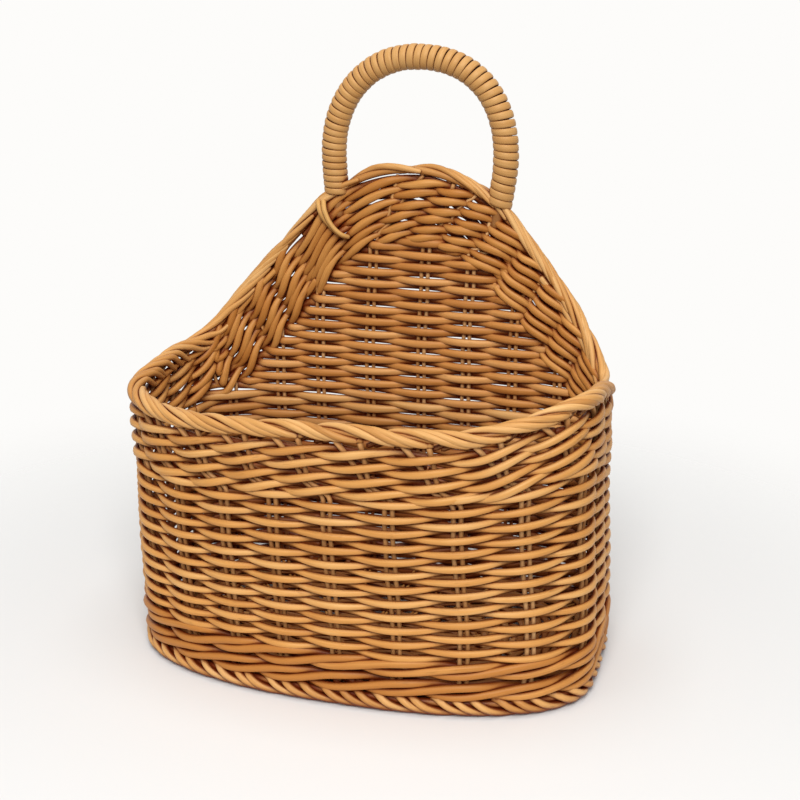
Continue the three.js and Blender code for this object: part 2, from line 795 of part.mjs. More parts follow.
addPiece('handle_wrap', tubeThrough(path, wrapStrandDiameter / 2, wrapSides), finishes.wrap);
addPiece('handle_lashing', lashing(), finishes.wrap);

export default basket;
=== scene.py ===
import math

import bpy
import numpy as np
from mathutils import Matrix, Vector


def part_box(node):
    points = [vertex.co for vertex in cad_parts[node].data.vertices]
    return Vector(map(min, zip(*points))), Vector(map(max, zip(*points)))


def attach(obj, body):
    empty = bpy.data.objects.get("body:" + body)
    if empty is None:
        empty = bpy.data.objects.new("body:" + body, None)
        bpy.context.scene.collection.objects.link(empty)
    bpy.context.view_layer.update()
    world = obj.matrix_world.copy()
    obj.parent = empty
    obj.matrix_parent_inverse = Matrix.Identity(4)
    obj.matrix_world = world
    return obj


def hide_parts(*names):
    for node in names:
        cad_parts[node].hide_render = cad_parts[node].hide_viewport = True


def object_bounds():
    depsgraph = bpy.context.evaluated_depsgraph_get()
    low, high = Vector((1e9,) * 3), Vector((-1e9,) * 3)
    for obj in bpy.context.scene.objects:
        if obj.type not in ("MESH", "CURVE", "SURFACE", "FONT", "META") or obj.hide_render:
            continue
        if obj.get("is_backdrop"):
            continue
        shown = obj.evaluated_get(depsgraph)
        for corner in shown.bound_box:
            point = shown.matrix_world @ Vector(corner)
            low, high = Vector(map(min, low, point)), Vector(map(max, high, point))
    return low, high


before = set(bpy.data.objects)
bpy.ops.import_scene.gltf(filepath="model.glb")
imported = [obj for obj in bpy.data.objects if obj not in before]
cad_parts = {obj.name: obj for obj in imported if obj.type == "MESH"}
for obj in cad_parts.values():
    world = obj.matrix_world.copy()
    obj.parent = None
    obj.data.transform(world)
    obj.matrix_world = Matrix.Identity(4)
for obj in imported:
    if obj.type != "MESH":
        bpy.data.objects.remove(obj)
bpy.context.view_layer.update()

rng = np.random.default_rng(11)
print("stage: frame")

# Plan of the wall, in millimetres. Distances round it start at the middle of the back, towards +X
plan = {
    "halfWidth": 89.8,
    "depth": 103.1,
    "frontShare": 0.39,
    "frontFullness": 2.35,
    "backFullness": 4.8,
    "shift": 12.44,
    "taper": 0.015,
    "samples": 2880,
    "normalSamples": 6,  # on either side of the point
}
rim = {
    "front": 113.0,
    "back": 188.2,
    "halfSpan": 98.5,
    "topRadius": 54.5,
    "footRadius": 22.0,
    "rightSqueeze": 0.032,  # the right shoulder is a little wider than the left one
    "squeezeStart": (10, 40),
    "squeezeEnd": (104, 80),
}


def runAlong(x, y):
    return np.concatenate([[0], np.cumsum(np.hypot(np.diff(x), np.diff(y)))])


def planTable():
    angle = np.pi / 2 - 2 * np.pi * np.arange(plan["samples"] + 1) / plan["samples"]
    across, along = np.cos(angle), np.sin(angle)
    front = along < 0
    reachFront = plan["frontShare"] * plan["depth"]
    reachBack = plan["depth"] - reachFront
    power = np.where(front, plan["frontFullness"], plan["backFullness"])
    reach = np.where(front, reachFront, reachBack)
    total = np.abs(across / plan["halfWidth"]) ** power + np.abs(along / reach) ** power
    radius = total ** (-1 / power)
    x, y = radius * across, radius * along - plan["shift"]
    near = plan["normalSamples"]
    dx = np.roll(x[:-1], -near) - np.roll(x[:-1], near)
    dy = np.roll(y[:-1], -near) - np.roll(y[:-1], near)
    size = np.hypot(dx, dy)
    nx, ny = np.append(-dy / size, -dy[0] / size[0]), np.append(dx / size, dx[0] / size[0])
    return runAlong(x, y), x, y, nx, ny


runTable, xTable, yTable, nxTable, nyTable = planTable()
wallLength = runTable[-1]


def planAt(s):
    within = np.mod(s, wallLength)
    return [np.interp(within, runTable, t) for t in (xTable, yTable, nxTable, nyTable)]


def signedSide(s):  # distance from the middle of the back, negative on the left
    return np.mod(s + wallLength / 2, wallLength) - wallLength / 2


def sideOf(s):
    return np.abs(signedSide(s))


def smooth(low, high, value):
    t = np.clip((value - low) / (high - low), 0, 1)
    return t * t * (3 - 2 * t)


# The body leans a little to the left and swells low down: heights, then offsets
swayTable = ([0, 25, 60, 113, 135, 188], [0.4, 0.0, -1.4, -2.2, -1.2, 0.6])
swellTable = ([0, 7, 24, 41, 59, 76, 113, 140], [-1.0, -0.5, 0.6, 0.6, 0.0, -0.7, -0.5, 0.0])


def onWall(s, z, out):
    s, z, out = np.broadcast_arrays(np.asarray(s, float), z, out)
    x, y, nx, ny = planAt(s)
    scale = 1 - plan["taper"] * np.clip(1 - z / rim["front"], 0, None) ** 2
    wide = scale * (1 + np.interp(z, *swellTable) / plan["halfWidth"])
    return np.stack([x * wide + nx * out + np.interp(z, *swayTable), y * scale + ny * out, z], -1)


def outward(s):
    nx, ny = planAt(s)[2:]
    return np.stack([nx, ny, np.zeros_like(nx)], -1)


# The rim and the rows rise towards the right of the front and sink a little towards the left:
# a height, its place round the wall and how far it reaches
wave = {
    "rimRise": (10.4, 147, 57),
    "rowRise": (5.2, 147, 85),
    "rimDip": (3.9, 310, 40),
    "rowDip": (3.0, 310, 40),
    "sag": (0.9, 245, 50),
    "sagHeights": (92, 68),
    "rowHeights": (6, 52),
    "rimHeights": (55, 113),
}


def hump(s, kind):
    height, middle, half = wave[kind]
    return height * np.cos(np.pi / 2 * np.clip((np.mod(s, wallLength) - middle) / half, -1, 1)) ** 2


def dip(s, kind):
    depth, middle, half = wave[kind]
    return depth * np.exp(-(((np.mod(s, wallLength) - middle) / half) ** 2))


def rimLift(s):
    return hump(s, "rimRise") - dip(s, "rimDip")


def rowLift(s):
    return hump(s, "rowRise") - dip(s, "rowDip")


def lifted(s, h):
    rows = rowLift(s) - hump(s, "sag") * smooth(*wave["sagHeights"], h)
    return h + rows * smooth(*wave["rowHeights"], h) + (rimLift(s) - rows) * smooth(*wave["rimHeights"], h)


# The rim: a round top on the arch, straight slopes and a round foot on either side
def rimTop(s):
    side = signedSide(s)
    squeeze = rim["rightSqueeze"] * smooth(*rim["squeezeStart"], side) * smooth(*rim["squeezeEnd"], side)
    side = np.abs(np.where(side > 0, side * (1 - squeeze), side))
    topRadius, footRadius = rim["topRadius"], rim["footRadius"]
    fall = rim["back"] - rim["front"] - topRadius - footRadius
    reach = math.hypot(rim["halfSpan"], fall)
    slope = math.atan2(fall, rim["halfSpan"]) + math.asin((topRadius + footRadius) / reach)
    topEnd = topRadius * math.sin(slope)
    footStart = rim["halfSpan"] - footRadius * math.sin(slope)
    top = rim["back"] - topRadius + np.sqrt(np.clip(topRadius**2 - side**2, 0, None))
    straight = rim["back"] - topRadius * (1 - math.cos(slope)) - (side - topEnd) * math.tan(slope)
    left = np.clip(rim["halfSpan"] - side, 0, None)
    foot = rim["front"] + footRadius - np.sqrt(np.clip(footRadius**2 - left**2, 0, None))
    z = np.where(side <= topEnd, top, np.where(side < footStart, straight, foot))
    return z + rimLift(s)


def rimLean(s):  # the rim's slope as an angle, from one millimetre on either side
    return np.arctan2(rimTop(s + 1.0) - rimTop(s - 1.0), 2.0)


# On the slopes of the arch the rows lie further below the rim, more so on the left
stretch = {"left": -0.62, "right": -0.30}


def slopeStretch(s):
    return np.cos(rimLean(s)) ** np.where(signedSide(s) < 0, stretch["left"], stretch["right"])


# Places of the stake pairs round the wall
stakeAt = np.array(
    [5.2, 24.3, 44.0, 63.6, 83.2, 102.8, 122.3, 146.7, 172.2, 196.9, 222.0, 245.6]
    + [266.9, 287.2, 308.2, 329.2, 350.2, 371.2, 392.3, 413.3, 434.3, 452.2, 474.1]
)
stakeCount = len(stakeAt)
cycle = np.append(stakeAt, stakeAt[0] + wallLength)
stepsPerStake = 14


def placeOf(crossing):
    turns = np.floor(crossing / stakeCount)
    return wallLength * turns + np.interp(crossing - turns * stakeCount, np.arange(stakeCount + 1), cycle)


# Near the rim the stakes bend over sideways, the one in front of a pair further than the other
stakes = {
    "diameter": 1.9,
    "pitch": 2.7,
    "bottom": 9.6,
    "headroom": 0.8,
    "step": 1.0,
    "lean": 1.5,
    "leanHeights": (30, 75),
    "bendDepths": [5.5, 8.8, 13.5, 18.7, 22.0, 24.4, 26.0, 27.3, 28.5],
    "frontBend": [19.4, 16.5, 12.6, 9.2, 8.3, 7.2, 3.8, 0.4, 0.0],
    "rearBend": [11.9, 11.2, 9.9, 9.2, 8.3, 7.2, 3.8, 0.4, 0.0],
    "bendSteps": 18,
    "bendPower": 1.5,
    "slopeAhead": 8.0,  # how far ahead of a stake the rim's slope decides its bend
    "turnBack": 2.1,  # on the left slope of the arch they lean the other way, square to the rim
    "turnBackSides": (-98, -74),
    "wobble": 0.12,
    "wobbleOut": 0.1,
    "sizeWander": (0.03, 14),
    "rearThinner": 0.25,
    "rearSides": (120, 80),
    "tipSwell": 1.2,
    "tipSteps": 8,
}


def bendShare(s):
    slope, side = rimLean(s), signedSide(s)
    other = stakes["turnBack"] * np.sin(slope) ** 2 * smooth(*stakes["turnBackSides"], side) * (side < 0)
    return np.cos(slope) ** stakes["bendPower"] - other


def leanAt(z):
    return stakes["lean"] * smooth(*stakes["leanHeights"], z)


def rowBend(s, depth):
    front = np.interp(depth, stakes["bendDepths"], stakes["frontBend"])
    rear = np.interp(depth, stakes["bendDepths"], stakes["rearBend"])
    return stakes["lean"] + bendShare(s) * (front + rear) / 2


# Smooth random drift along a strand
def wander(count, size, reach=9):
    raw = rng.normal(0, 1, count + 2 * reach)
    kernel = np.hanning(2 * reach + 1)
    kernel /= np.sqrt((kernel**2).sum())
    return size * np.convolve(raw, kernel, "valid")[:count]


# Softens the corners of a route in place, while its ends stay
def relax(values, times):
    for _ in range(times):
        values[1:-1] = (values[:-2] + 2 * values[1:-1] + values[2:]) / 4


# Running mean over an odd number of steps
def softened(values, width):
    return np.convolve(np.pad(values, width // 2, "edge"), np.ones(width) / width, "valid")


# Unit vectors square to a path: one towards the given side and one across it
def squareTo(path, side):
    along = np.gradient(path, axis=0)
    along /= np.linalg.norm(along, axis=1, keepdims=True)
    normal = side - (side * along).sum(1, keepdims=True) * along
    normal /= np.linalg.norm(normal, axis=1, keepdims=True)
    return normal, np.cross(along, normal)


# A bundle gathers swept strands and becomes one mesh
strand = {
    "power": 2.3,  # 2 is a round section, more is squarer
    "endShare": 0.75,
    "innerSide": (0.3, -0.2),  # the side of a strand that faces into the basket
    "deepHeights": (98, 52),
}


class Bundle:
    def __init__(self):
        self.points, self.quads, self.fans, self.grain, self.tone, self.deep = [], [], [], [], [], []
        self.count = 0

    def add(self, path, side, width, thick, tone=None, sides=10, power=strand["power"], deep=None):
        path = np.asarray(path, float)
        n = len(path)
        width = np.broadcast_to(np.asarray(width, float), n).copy()
        thick = np.broadcast_to(np.asarray(thick, float), n).copy()
        side = np.broadcast_to(np.asarray(side, float), (n, 3))
        width[[0, -1]] *= strand["endShare"]
        thick[[0, -1]] *= strand["endShare"]
        normal, across = squareTo(path, side)
        angle = 2 * np.pi * np.arange(sides) / sides
        shape = (np.abs(np.cos(angle)) ** power + np.abs(np.sin(angle)) ** power) ** (-1 / power)
        c, s = shape * np.cos(angle), shape * np.sin(angle)
        ring = (
            path[:, None]
            + thick[:, None, None] / 2 * c[None, :, None] * normal[:, None]
            + width[:, None, None] / 2 * s[None, :, None] * across[:, None]
        )
        run = np.concatenate([[0], np.cumsum(np.linalg.norm(np.diff(path, axis=0), axis=1))])
        seed = rng.uniform(0, 1000)
        tone = rng.uniform(0, 1) if tone is None else tone
        grain = np.zeros((n, sides, 3))
        grain[..., 0] = run[:, None] + seed
        grain[..., 1] = c[None] * thick[:, None] / 2
        grain[..., 2] = s[None] * width[:, None] / 2 + seed
        self.points += [ring.reshape(-1, 3), path[[0, -1]]]
        self.grain += [grain.reshape(-1, 3), np.array([[seed, 0, seed], [run[-1] + seed, 0, seed]])]
        tone = np.broadcast_to(tone, n)
        self.tone.append(np.append(np.repeat(tone, sides), tone[[0, -1]]))
        # Painted shade: the deep value marks the inner side of a strand low in the basket, where the
        # colour is darkened
        if deep is None:
            low = smooth(*strand["deepHeights"], path[:, 2])
            inside = smooth(*strand["innerSide"], c)[None] * low[:, None]
            deep = np.append(inside.ravel(), inside.max(1)[[0, -1]])
        self.deep.append(np.broadcast_to(deep, n * sides + 2))
        i, j = np.meshgrid(np.arange(n - 1), np.arange(sides), indexing="ij")
        k = (j + 1) % sides
        quads = np.stack([i * sides + j, i * sides + k, (i + 1) * sides + k, (i + 1) * sides + j], -1)
        self.quads.append(self.count + quads.reshape(-1, 4))
        j = np.arange(sides)
        k = (j + 1) % sides
        last = (n - 1) * sides
        self.fans.append(self.count + np.stack([np.full(sides, n * sides), k, j], -1))
        self.fans.append(self.count + np.stack([np.full(sides, n * sides + 1), last + j, last + k], -1))
        self.count += n * sides + 2

    def build(self, name, material, nodes):
        points = np.concatenate(self.points) / 1000
        quads, fans = np.concatenate(self.quads), np.concatenate(self.fans)
        mesh = bpy.data.meshes.new(name)
        mesh.vertices.add(len(points))
        mesh.vertices.foreach_set("co", points.ravel())
        mesh.loops.add(quads.size + fans.size)
        mesh.loops.foreach_set("vertex_index", np.concatenate([quads.ravel(), fans.ravel()]))
        sizes = np.concatenate([np.full(len(quads), 4), np.full(len(fans), 3)])
        mesh.polygons.add(len(sizes))
        mesh.polygons.foreach_set("loop_start", np.concatenate([[0], np.cumsum(sizes)[:-1]]))
        mesh.polygons.foreach_set("use_smooth", np.ones(len(sizes), bool))
        mesh.update(calc_edges=True)
        for title, values in (("tone", self.tone), ("deep", self.deep)):
            mesh.attributes.new(title, "FLOAT", "POINT").data.foreach_set("value", np.concatenate(values))
        grain = mesh.attributes.new("grain", "FLOAT_VECTOR", "POINT")
        grain.data.foreach_set("vector", np.concatenate(self.grain).ravel())
        mesh.materials.append(material)
        piece = bpy.data.objects.new(name, mesh)
        bpy.context.scene.collection.objects.link(piece)
        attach(piece, "root")
        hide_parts(*nodes)


# Cane: long fibres, a tone for each strand, darker flecks, painted shade in the hollows and low on the
# inside of the basket, and a soft skin.
# The three noises have scales along, through and across a strand, then their detail
skin = {
    "fibre": ((0.045, 1.6, 1.6), 4.0),
    "cloud": ((0.05, 0.12, 0.12), 2.0),
    "fleck": ((0.16, 0.7, 0.7), 3.0),
    "fleckRange": (0.63, 0.75),
    "fleckShade": 0.45,
    "weight": 0.5,  # of the strand's tone, of the clouds and of the fibres
    "offset": 0.25,
    "rampEnds": (0.12, 0.88),
    "hollowReach": 0.007,
    "hollowSamples": 6,
    "hollowRange": (0.36, 0.90),
    "paintedShade": (0.15, 0.017, 0.001),
    "deepShade": 0.82,
    "roughness": 0.48,
    "gloss": 0.3,
    "glossTint": (1.0, 0.91, 0.77),
    "relief": 0.25,
    "reliefHeight": 0.0003,
}


def cane(name, dark, middle, light, fleck=0.35, hollowShade=1.0):
    material = bpy.data.materials.new(name)
    material.use_nodes = True
    nodes, links = material.node_tree.nodes, material.node_tree.links
    nodes.clear()
    make = nodes.new
    out = make("ShaderNodeOutputMaterial")
    shader = make("ShaderNodeBsdfPrincipled")

    def feed(node, title, value):
        socket = node.inputs[title]
        if isinstance(value, (int, float, tuple)):
            socket.default_value = value
        else:
            links.new(value, socket)

    def attribute(title, output):
        node = make("ShaderNodeAttribute")
        node.attribute_name = title
        return node.outputs[output]

    def noise(scale, detail):
        mapping, texture = make("ShaderNodeMapping"), make("ShaderNodeTexNoise")
        feed(mapping, "Vector", grain)
        feed(mapping, "Scale", scale)
        feed(texture, "Vector", mapping.outputs["Vector"])
        feed(texture, "Scale", 1.0)
        feed(texture, "Detail", detail)
        return texture.outputs["Fac"]

    def calculate(kind, a, b, clamp=False):
        node = make("ShaderNodeMath")
        node.operation, node.use_clamp = kind, clamp
        feed(node, 0, a)
        feed(node, 1, b)
        return node.outputs[0]

    def ranged(value, between, low, high, kind="LINEAR"):
        node = make("ShaderNodeMapRange")
        node.interpolation_type = kind
        feed(node, "Value", value)
        feed(node, "From Min", between[0])
        feed(node, "From Max", between[1])
        feed(node, "To Min", low)
        feed(node, "To Max", high)
        return node.outputs[0]

    def mixed(share, first, second):
        node = make("ShaderNodeMix")
        node.data_type = "RGBA"
        feed(node, 0, share)
        feed(node, 6, first)  # 6 and 7 are the two colour sockets, 2 is the mixed colour
        feed(node, 7, second)
        return node.outputs[2]

    grain, tone, deep = attribute("grain", "Vector"), attribute("tone", "Fac"), attribute("deep", "Fac")
    fibre, cloud, flecks = [noise(*skin[kind]) for kind in ("fibre", "cloud", "fleck")]
    shade = calculate("MULTIPLY", tone, skin["weight"])
    for part in (cloud, fibre):
        shade = calculate("ADD", shade, calculate("MULTIPLY", part, skin["weight"]))
    shade = calculate("SUBTRACT", shade, skin["offset"], True)
    ramp = make("ShaderNodeValToRGB")
    for element, place, colour in zip(ramp.color_ramp.elements, skin["rampEnds"], (dark, light)):
        element.position, element.color = place, (*colour, 1)
    ramp.color_ramp.elements.new(0.5).color = (*middle, 1)
    links.new(shade, ramp.inputs["Fac"])
    spots = ranged(flecks, skin["fleckRange"], 0.0, fleck)
    spotColour = (*[v * skin["fleckShade"] for v in dark], 1)
    clean = mixed(spots, ramp.outputs["Color"], spotColour)
    # Painted shade: ambient occlusion darkens the colour towards a dark red-brown in the hollows between
    # strands, as much as hollowShade allows
    hollow = make("ShaderNodeAmbientOcclusion")
    hollow.samples = skin["hollowSamples"]
    hollow.inputs["Distance"].default_value = skin["hollowReach"]
    openness = ranged(hollow.outputs["AO"], skin["hollowRange"], 1 - hollowShade, 1.0, "SMOOTHSTEP")
    # Painted shade: the colour darkens low on the inside of the basket, following the deep attribute
    shallow = calculate("SUBTRACT", 1.0, calculate("MULTIPLY", deep, skin["deepShade"]))
    colour = mixed(calculate("MULTIPLY", openness, shallow), (*skin["paintedShade"], 1), clean)
    relief = make("ShaderNodeBump")
    feed(relief, "Strength", skin["relief"])
    feed(relief, "Distance", skin["reliefHeight"])
    feed(relief, "Height", fibre)
    feed(shader, "Base Color", colour)
    feed(shader, "Roughness", skin["roughness"])
    feed(shader, "Specular IOR Level", skin["gloss"])
    feed(shader, "Specular Tint", (*skin["glossTint"], 1))
    feed(shader, "Normal", relief.outputs["Normal"])
    links.new(shader.outputs["BSDF"], out.inputs["Surface"])
    return material


weaverCane = cane("weaver_cane", (0.49, 0.19, 0.038), (0.69, 0.325, 0.086), (0.84, 0.50, 0.195))
# The rows across the raised back are a darker copy of the weaver cane: painted shade for the inside of the
# back, which gets less light
shadedBackCane = cane("back_cane_shaded", (0.45, 0.165, 0.034), (0.60, 0.255, 0.064), (0.76, 0.39, 0.135))
stakeCane = cane("stake_cane", (0.54, 0.24, 0.07), (0.71, 0.37, 0.13), (0.84, 0.50, 0.22), hollowShade=0.5)
borderCane = cane("border_cane", (0.46, 0.19, 0.045), (0.65, 0.32, 0.095), (0.79, 0.46, 0.18))
wrapCane = cane("wrap_cane", (0.54, 0.26, 0.075), (0.68, 0.385, 0.14), (0.84, 0.54, 0.235), fleck=0.15)
lashCane = cane("lash_cane", (0.50, 0.23, 0.056), (0.64, 0.34, 0.10), (0.76, 0.45, 0.16), hollowShade=0.4)
# The loop's core is coloured dark: painted shade in the gaps between the turns of the wrap
shadeCoreCane = cane("core_cane_shade", (0.22, 0.08, 0.02), (0.30, 0.12, 0.03), (0.36, 0.16, 0.05))
baseCane = cane("base_cane", (0.40, 0.155, 0.032), (0.58, 0.26, 0.066), (0.72, 0.37, 0.115))
print("stage: materials")

# Stakes: pairs of thin rods that bend over into the rim
for index, place in enumerate(stakeAt):
    bundle = Bundle()
    for side in (-1, 1):
        bends = stakes["frontBend"] if side > 0 else stakes["rearBend"]
        first = place + side * stakes["pitch"] / 2
        low = float(rimTop(first)) - stakes["bendDepths"][-1] * float(slopeStretch(first))
        z = np.arange(stakes["bottom"], low - stakes["headroom"], stakes["step"])
        s = first + leanAt(z)
        depth = np.linspace(stakes["bendDepths"][-1], stakes["bendDepths"][0], stakes["bendSteps"])
        share = float(bendShare(first + stakes["slopeAhead"]))
        over = first + stakes["lean"] + share * np.interp(depth, stakes["bendDepths"], bends)
        s = np.append(s, over)
        z = np.append(z, rimTop(over) - depth * slopeStretch(over))
        relax(s, 2)
        relax(z, 2)
        steps = len(z)
        s = s + wander(steps, stakes["wobble"])
        thinner = stakes["rearThinner"] * smooth(*stakes["rearSides"], sideOf(place))
        size = (stakes["diameter"] - thinner) * (1 + wander(steps, *stakes["sizeWander"]))
        size[-stakes["tipSteps"] :] *= np.linspace(1, stakes["tipSwell"], stakes["tipSteps"])
        path = onWall(s, z, wander(steps, stakes["wobbleOut"]))
        bundle.add(path, outward(s), size, size, sides=8, power=2)
    bundle.build(f"stake_pair_{index + 1:02d}", stakeCane, [f"stake_{index + 1:02d}"])
print("stage: stakes")

# Side weaving: one strand in front of a stake and behind the next, on a spiral
weave = {
    "pieces": 5,
    "seam": 5,
    "start": 22.33,
    "pitch": 2.77,
    "rounds": 23.2,
    "reach": 2.2,
    "height": 2.55,
    "thick": 2.45,
    "flatness": 0.9,
    "bulge": 0.5,
    "thickBulge": 0.1,
    "rearSides": (150, 105),
    "rearPull": 0.22,
    "rearHigher": (0.6, 0.3),
    "reachWander": (0.04, 12),
    "outWander": (0.05, 12),
    "heightWander": (0.10, 14),
    "sizeWander": (0.05, 16),
    "cutMargin": 8,
    "tones": (0.15, 0.8),
}


def plainPath(crossing, height):
    steps = len(crossing)
    swing = -np.cos(np.pi * crossing)
    s = placeOf(crossing + weave["seam"]) + leanAt(height)
    out = weave["reach"] * np.sign(swing) * np.abs(swing) ** weave["flatness"]
    out = out * (1 + wander(steps, *weave["reachWander"])) + wander(steps, *weave["outWander"])
    z = height + wander(steps, *weave["heightWander"])
    rear = smooth(*weave["rearSides"], sideOf(s))
    out = out * (1 - weave["rearPull"] * rear)
    higher = rear * (weave["rearHigher"][0] + weave["rearHigher"][1] * swing**2)
    width = weave["height"] + weave["bulge"] * swing**2 + higher + wander(steps, *weave["sizeWander"])
    thick = weave["thick"] + weave["thickBulge"] * swing**2 + wander(steps, *weave["sizeWander"])
    return onWall(s, z, out), outward(s), width, thick


total = weave["rounds"] * stakeCount
for number in range(weave["pieces"]):
    bundle = Bundle()
    first, last = (2 * round(total * part / weave["pieces"] / 2) for part in (number, number + 1))
    cuts = np.sort(rng.uniform(first + weave["cutMargin"], last - weave["cutMargin"], 2))
    edges = [first, *(2 * np.round(cuts / 2)), last]
    for low, high in zip(edges[:-1], edges[1:]):
        crossing = np.arange(low, high + 0.01, 1 / stepsPerStake)
        h = weave["start"] + weave["pitch"] * crossing / stakeCount
        z = lifted(placeOf(crossing + weave["seam"]), h)
        path, side, width, thick = plainPath(crossing, z)
        bundle.add(path, side, width, thick, rng.uniform(*weave["tones"]))
    name = f"side_weaver_{number + 1}"
    bundle.build(f"side_strand_{number + 1}", weaverCane, [name])
print("stage: side weaving")

# Rows of twined pairs along the rim: depths of their middles below it, in front and on the arch
pairs = {
    "front": (11.1, 16.0, 21.4, 26.0),
    "arch": (8.3, 12.9, 17.4, 21.9, 26.3, 30.4),
    "archSides": (106, 74),
    "starts": (7, 9, 5, 11),
    "sizes": (2.7, 2.7, 2.7, 2.8),
    "archSize": 2.55,
    "floors": ((90.6, 4, True), (87.0, 5, False)),  # height, stakes either side, with a strand behind
    "floorSoftness": 3.5,
    "reach": 2.35,
    "flatness": 0.9,
    "drop": 1.3,
    "steeper": 1.4,
    "apart": 2.4,
    "ahead": 0.04,
    "innerSides": (165, 120),
    "innerPull": 0.14,
    "innerWider": 0.08,
    "inside": (0.6, 0.3),  # on the slopes the strokes on the inside are shorter
    "leaf": (0.18, 0.12),
    "plainLeaf": 0.75,
    "thickShare": 0.95,
    "heightWander": 0.15,
    "placeWander": (0.25, 16),
    "outWander": (0.06, 14),
    "sizeWander": (0.03, 16),
    "tones": (0.15, 0.85),
    "rearShade": 0.6,
    "rearSides": (112, 80),
    "tuck": 2.0,
    "endCalm": 0.7,
    "twistSides": ((-90, -26), (-46, 46), (28, 94)),
    "cutEvery": 5,
}

# Rows across the raised back, tucked under the lowest row of the arch
back = {
    "start": 88.2,
    "pitch": 2.69,
    "tuck": 3.2,
    "tuckOut": 2.2,
    "tuckRun": 6.0,
    "reach": 1.65,
    "flatness": 0.9,
    "height": 3.15,
    "bulge": 0.32,
    "thick": 2.15,
    "stepsPerStake": 12,
    "clearance": 0.9,
    "shortest": 60,  # samples, a tenth of a millimetre each
    "outWander": (0.08, 12),
    "heightWander": (0.16, 12),
    "widthWander": (0.06, 12),
    "thickWander": (0.05, 12),
}
nearIndex = np.arange(-6, 7)
nearPlace = np.concatenate([stakeAt[-6:] - wallLength, stakeAt[:7]])
samples = np.linspace(0, 110, 1101)


def bandFloor(s):
    return rimTop(s) - (pairs["arch"][-1] + back["clearance"]) * slopeStretch(s)


bundle = Bundle()
row = 0
while True:
    z = back["start"] + back["pitch"] * row
    fits = [samples[bandFloor(side * samples) > z - 0.5] for side in (-1, 1)]
    if min(len(part) for part in fits) < back["shortest"]:
        break
    ends = [float(part[-1]) + back["tuck"] for part in fits]
    low, high = [float(np.interp(end, nearPlace, nearIndex)) for end in (-ends[0], ends[1])]
    crossing = np.arange(low, high, 1 / back["stepsPerStake"])
    sign = 1 if row % 2 == 0 else -1
    swing = np.cos(np.pi * crossing)
    steps = len(crossing)
    s = np.interp(crossing, nearIndex, nearPlace)
    out = sign * back["reach"] * np.sign(swing) * np.abs(swing) ** back["flatness"]
    out = out + wander(steps, *back["outWander"])
    tucked = smooth(back["tuckRun"], 0.5, np.minimum(s - s[0], s[-1] - s))
    out = out * (1 - tucked) + back["tuckOut"] * tucked
    height = z + wander(steps, *back["heightWander"])
    width = back["height"] + back["bulge"] * swing**2 + wander(steps, *back["widthWander"])
    thick = back["thick"] + wander(steps, *back["thickWander"])
    bundle.add(onWall(s + leanAt(z), height, out), outward(s), width, thick)
    row += 1
bundle.build("back_strands", shadedBackCane, ["back_weaver"])
print("stage: back rows", row)


# Where a strand ends and the next one starts, never on the arch
def cutAt(first, last, period, every):
    count = max(1, round((last - first) / (period * every)))
    cuts = [first + period * round((last - first) / period * part / count) for part in range(count + 1)]
    return [cut for cut in cuts if cut in (first, last) or abs(cut - stakeCount) > 6]


# Along the arch the strands of a pair twist round each other between the stakes as well
def extraTwist(s):
    side = signedSide(s)
    return 2 * sum(smooth(low, high, side) for low, high in pairs["twistSides"])


# Pairing: two strands twined round each other and round the stakes
def pairing(bundle, spans, depth, heightOf, size, tucked=False):
    low = min(span[0] for span in spans)
    high = max(span[1] for span in spans)
    shared = wander(round((high - low) * stepsPerStake) + 1, pairs["heightWander"], 24)
    for turn, (first, last) in enumerate(spans):
        cuts = cutAt(first, last, 2, pairs["cutEvery"])
        for a, b in zip(cuts[:-1], cuts[1:]):
            crossing = np.arange(a, b + 0.01, 1 / stepsPerStake)
            steps = len(crossing)
            phase = crossing + turn + extraTwist(placeOf(crossing))
            swing, rise = np.cos(np.pi * phase), -np.sin(np.pi * phase)
            s = placeOf(crossing + pairs["ahead"]) + wander(steps, *pairs["placeWander"])
            s = s + rowBend(s, depth)
            lean = rimLean(s)
            inner = smooth(*pairs["innerSides"], sideOf(s))
            slope = np.sin(lean) ** 2
            ending = smooth(0.5, 0.0, crossing - first) + smooth(0.5, 0.0, last - crossing)
            ending = ending if tucked else 0 * ending
            steep = pairs["drop"] * (1 + pairs["steeper"] * slope) * rise * (1 - pairs["endCalm"] * ending)
            steep = steep + (0, pairs["apart"])[turn] * slope
            begin = round((a - low) * stepsPerStake)
            z = heightOf(s) + shared[begin : begin + steps] + wander(steps, pairs["heightWander"] / 2, 16)
            z = z + steep * np.cos(lean)
            s = s - steep * np.sin(lean)
            shorter, inwards = pairs["inside"]
            swing = np.clip((1 + shorter * slope) * (swing + inwards * slope), -1, 1)
            out = pairs["reach"] * (1 - pairs["innerPull"] * inner)
            out = out * np.sign(swing) * np.abs(swing) ** pairs["flatness"]
            out = out + wander(steps, *pairs["outWander"])
            out = out * (1 - ending) + pairs["tuck"] * ending
            leaf = pairs["leaf"][0] + pairs["leaf"][1] * inner
            leaf = leaf * (1 - pairs["plainLeaf"] * slope) * swing**2
            wider = leaf + pairs["innerWider"] * inner
            width = size * (1 + wider + wander(steps, *pairs["sizeWander"]))
            thick = pairs["thickShare"] * size * (1 + wander(steps, *pairs["sizeWander"]))
            # Painted shade: the pairs across the arch take a darker tone
            rear = smooth(*pairs["rearSides"], sideOf(s))
            tone = rng.uniform(*pairs["tones"]) - pairs["rearShade"] * rear
            bundle.add(onWall(s, z, out), outward(s), width, thick, tone)


# On the slopes a plain strand lies behind each pair and closes the wall
backer = {
    "spans": ((-103, -34), (34, 103)),
    "lower": 1.4,
    "out": 1.5,
    "tuck": 2.3,
    "tuckRun": 9,
    "width": 2.7,
    "thick": 1.5,
    "steps": 140,
    "heightWander": (0.3, 20),
    "outWander": (0.12, 16),
    "uneven": 6,
    "tones": (-0.4, 0.1),
}


